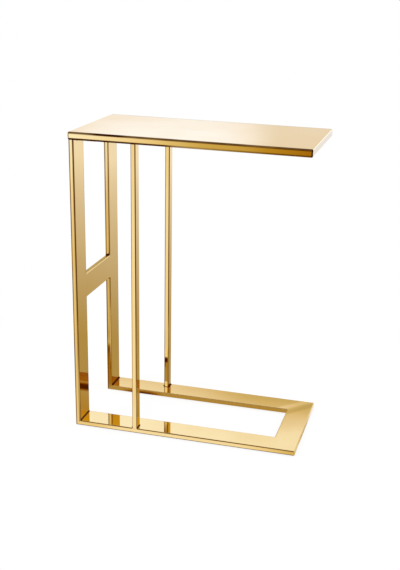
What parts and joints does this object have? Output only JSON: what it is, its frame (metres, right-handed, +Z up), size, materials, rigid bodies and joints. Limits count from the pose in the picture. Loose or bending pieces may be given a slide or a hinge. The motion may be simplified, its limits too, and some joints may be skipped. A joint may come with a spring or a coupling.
{
  "type": "side table",
  "caption": "C shaped side table in polished gold metal: a thin rectangular top on flat uprights with a crossbar, slim side rods and a flat U shaped base.",
  "frame": {"origin": "on the floor, under the middle of the top", "axes": "+X from the uprights towards the open end, +Y towards the back side, +Z up"},
  "size_m": [0.465, 0.232, 0.61],
  "materials": {
    "gold": "mirror polished",
    "board": "raw fibreboard",
    "backing": "matt",
    "screws": "zinc plated",
    "inserts": "zinc plated",
    "pads": "matt"
  },
  "bodies": {
    "root": {"top_pan": "gold", "crossbar": "gold", "end_rail": "gold", "front_upright": "gold", "front_rail": "gold", "front_rod": "gold", "front_upright_tab": "gold", "front_rod_tab": "gold", "front_upright_cap": "gold", "front_rod_cap": "gold", "back_upright": "gold", "back_rail": "gold", "back_rod": "gold", "back_upright_tab": "gold", "back_rod_tab": "gold", "back_upright_cap": "gold", "back_rod_cap": "gold", "top_core": "board", "underside_panel": "backing", "top_screws": "screws", "threaded_inserts": "inserts", "front_left_pad": "pads", "front_right_pad": "pads", "back_left_pad": "pads", "back_right_pad": "pads"}
  },
  "joints": []
}
